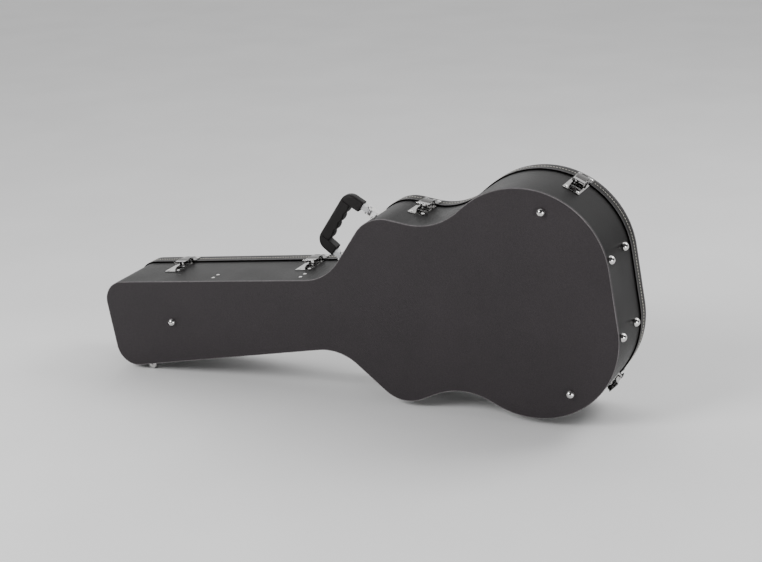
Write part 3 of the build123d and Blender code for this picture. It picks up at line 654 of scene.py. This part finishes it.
class GUITARCASE_OT_padding(bpy.types.Operator):
    """Blow up the plush pads inside the base and the lid"""

    bl_idname = "guitarcase.padding"
    bl_label = "Padding"

    def execute(self, context):
        sizes = context.scene.guitar_case_sizes
        for node, body, share, cap, fill in PADS:
            pad = copy_of(node, node + "_plush")
            remesh(pad, sizes.pad_voxel * share)
            soften(pad, 0.5, 6)
            inflate(pad, cap, sizes.pad_frames)
            keep_inside(pad, node)
            shade(pad, "plush")
            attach(pad, body)
            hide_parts(node)
        return {"FINISHED"}


class GUITARCASE_OT_pull_tab(bpy.types.Operator):
    """Weave the ribbon loop of the compartment's lid"""

    bl_idname = "guitarcase.pull_tab"
    bl_label = "Pull tab"

    def execute(self, context):
        tab = copy_of("compartment_pull_tab", "compartment_ribbon_tab")
        remesh(tab, RIBBON_MESH)
        soften(tab, 0.5, 3)
        shade(tab, "ribbon_weave")
        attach(tab, "compartment_lid")
        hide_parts("compartment_pull_tab")
        return {"FINISHED"}


def soft_light(name, place, target, width, watts):
    """Square soft box aimed at a point."""
    lamp = bpy.data.lights.new(name, "AREA")
    lamp.size = width
    lamp.energy = watts
    light = bpy.data.objects.new(name, lamp)
    light.location = place
    light.rotation_euler = (Vector(target) - Vector(place)).to_track_quat("-Z", "Y").to_euler()
    bpy.context.scene.collection.objects.link(light)


class GUITARCASE_OT_stage(bpy.types.Operator):
    """Lay the floor, hang the lights and set the camera"""

    bl_idname = "guitarcase.stage"
    bl_label = "Stage"

    def execute(self, context):
        scene = context.scene
        bpy.ops.mesh.primitive_plane_add(size=FLOOR_WIDTH, location=(0, 0, -FLOOR_DROP))
        floor = context.active_object
        floor.name = "studio_floor"
        floor.data.transform(floor.matrix_world)
        floor.matrix_world = Matrix.Identity(4)
        tree, principled, paint = shader("floor_paper", (0.92, 0.92, 0.92), 0.9)
        place = add(tree, "ShaderNodeTexCoord").outputs["Object"]
        mottle = add(tree, "ShaderNodeTexNoise", {"Vector": place, "Scale": 3.0})
        tree.links.new(ramp(tree, mottle.outputs["Fac"], (0.9, 0.9, 0.9), (0.94, 0.94, 0.94)),
                       principled.inputs["Base Color"])
        principled.inputs["Specular IOR Level"].default_value = 0.0
        floor.data.materials.append(paint)
        world = bpy.data.worlds.new("studio")
        world.use_nodes = True
        sky = world.node_tree
        bearing = add(sky, "ShaderNodeTexCoord").outputs["Generated"]
        tilted = add(sky, "ShaderNodeVectorMath", {0: bearing, 1: (-0.3, 0.9, 0.45)},
                     operation="DOT_PRODUCT")
        shade_of = ramp(sky, tilted.outputs["Value"], (0.04, 0.04, 0.042), (1, 1, 1), 0.25, 0.8)
        sky.links.new(shade_of, sky.nodes["Background"].inputs["Color"])
        sky.nodes["Background"].inputs["Strength"].default_value = SKY_STRENGTH
        scene.world = world
        for name, place, width, watts in SOFT_BOXES:
            soft_light(name, place, MIDDLE, width, watts)
        camera_data = bpy.data.cameras.new("studio_camera")
        camera_data.lens = LENS
        camera_data.sensor_width = SENSOR
        camera = bpy.data.objects.new("studio_camera", camera_data)
        camera.location = CAMERA_PLACE
        camera.rotation_euler = Euler([math.radians(angle) for angle in CAMERA_DEGREES])
        scene.collection.objects.link(camera)
        scene.camera = camera
        return {"FINISHED"}


OPERATORS = (GUITARCASE_OT_shell, GUITARCASE_OT_hardware, GUITARCASE_OT_beads, GUITARCASE_OT_stitching,
             GUITARCASE_OT_handle, GUITARCASE_OT_padding, GUITARCASE_OT_pull_tab, GUITARCASE_OT_stage)


class GUITARCASE_PT_panel(bpy.types.Panel):
    """Sizes, colours and pieces of the guitar case"""

    bl_idname = "GUITARCASE_PT_panel"
    bl_label = "Guitar Case"
    bl_space_type = "VIEW_3D"
    bl_region_type = "UI"
    bl_category = "Guitar Case"

    def draw(self, context):
        for group in (context.scene.guitar_case_sizes, context.scene.guitar_case_colours):
            for name in group.__annotations__:
                self.layout.prop(group, name)
        for operator in OPERATORS:
            self.layout.operator(operator.bl_idname)


CLASSES = (GuitarCaseColours, GuitarCaseSizes, *OPERATORS, GUITARCASE_PT_panel)


def register():
    for entry in CLASSES:
        bpy.utils.register_class(entry)
    bpy.types.Scene.guitar_case_colours = PointerProperty(type=GuitarCaseColours)
    bpy.types.Scene.guitar_case_sizes = PointerProperty(type=GuitarCaseSizes)


def unregister():
    del bpy.types.Scene.guitar_case_sizes
    del bpy.types.Scene.guitar_case_colours
    for entry in reversed(CLASSES):
        bpy.utils.unregister_class(entry)


def main():
    register()
    for operator in OPERATORS:
        group, name = operator.bl_idname.split(".")
        getattr(getattr(bpy.ops, group), name)()


if __name__ == "__main__":
    main()
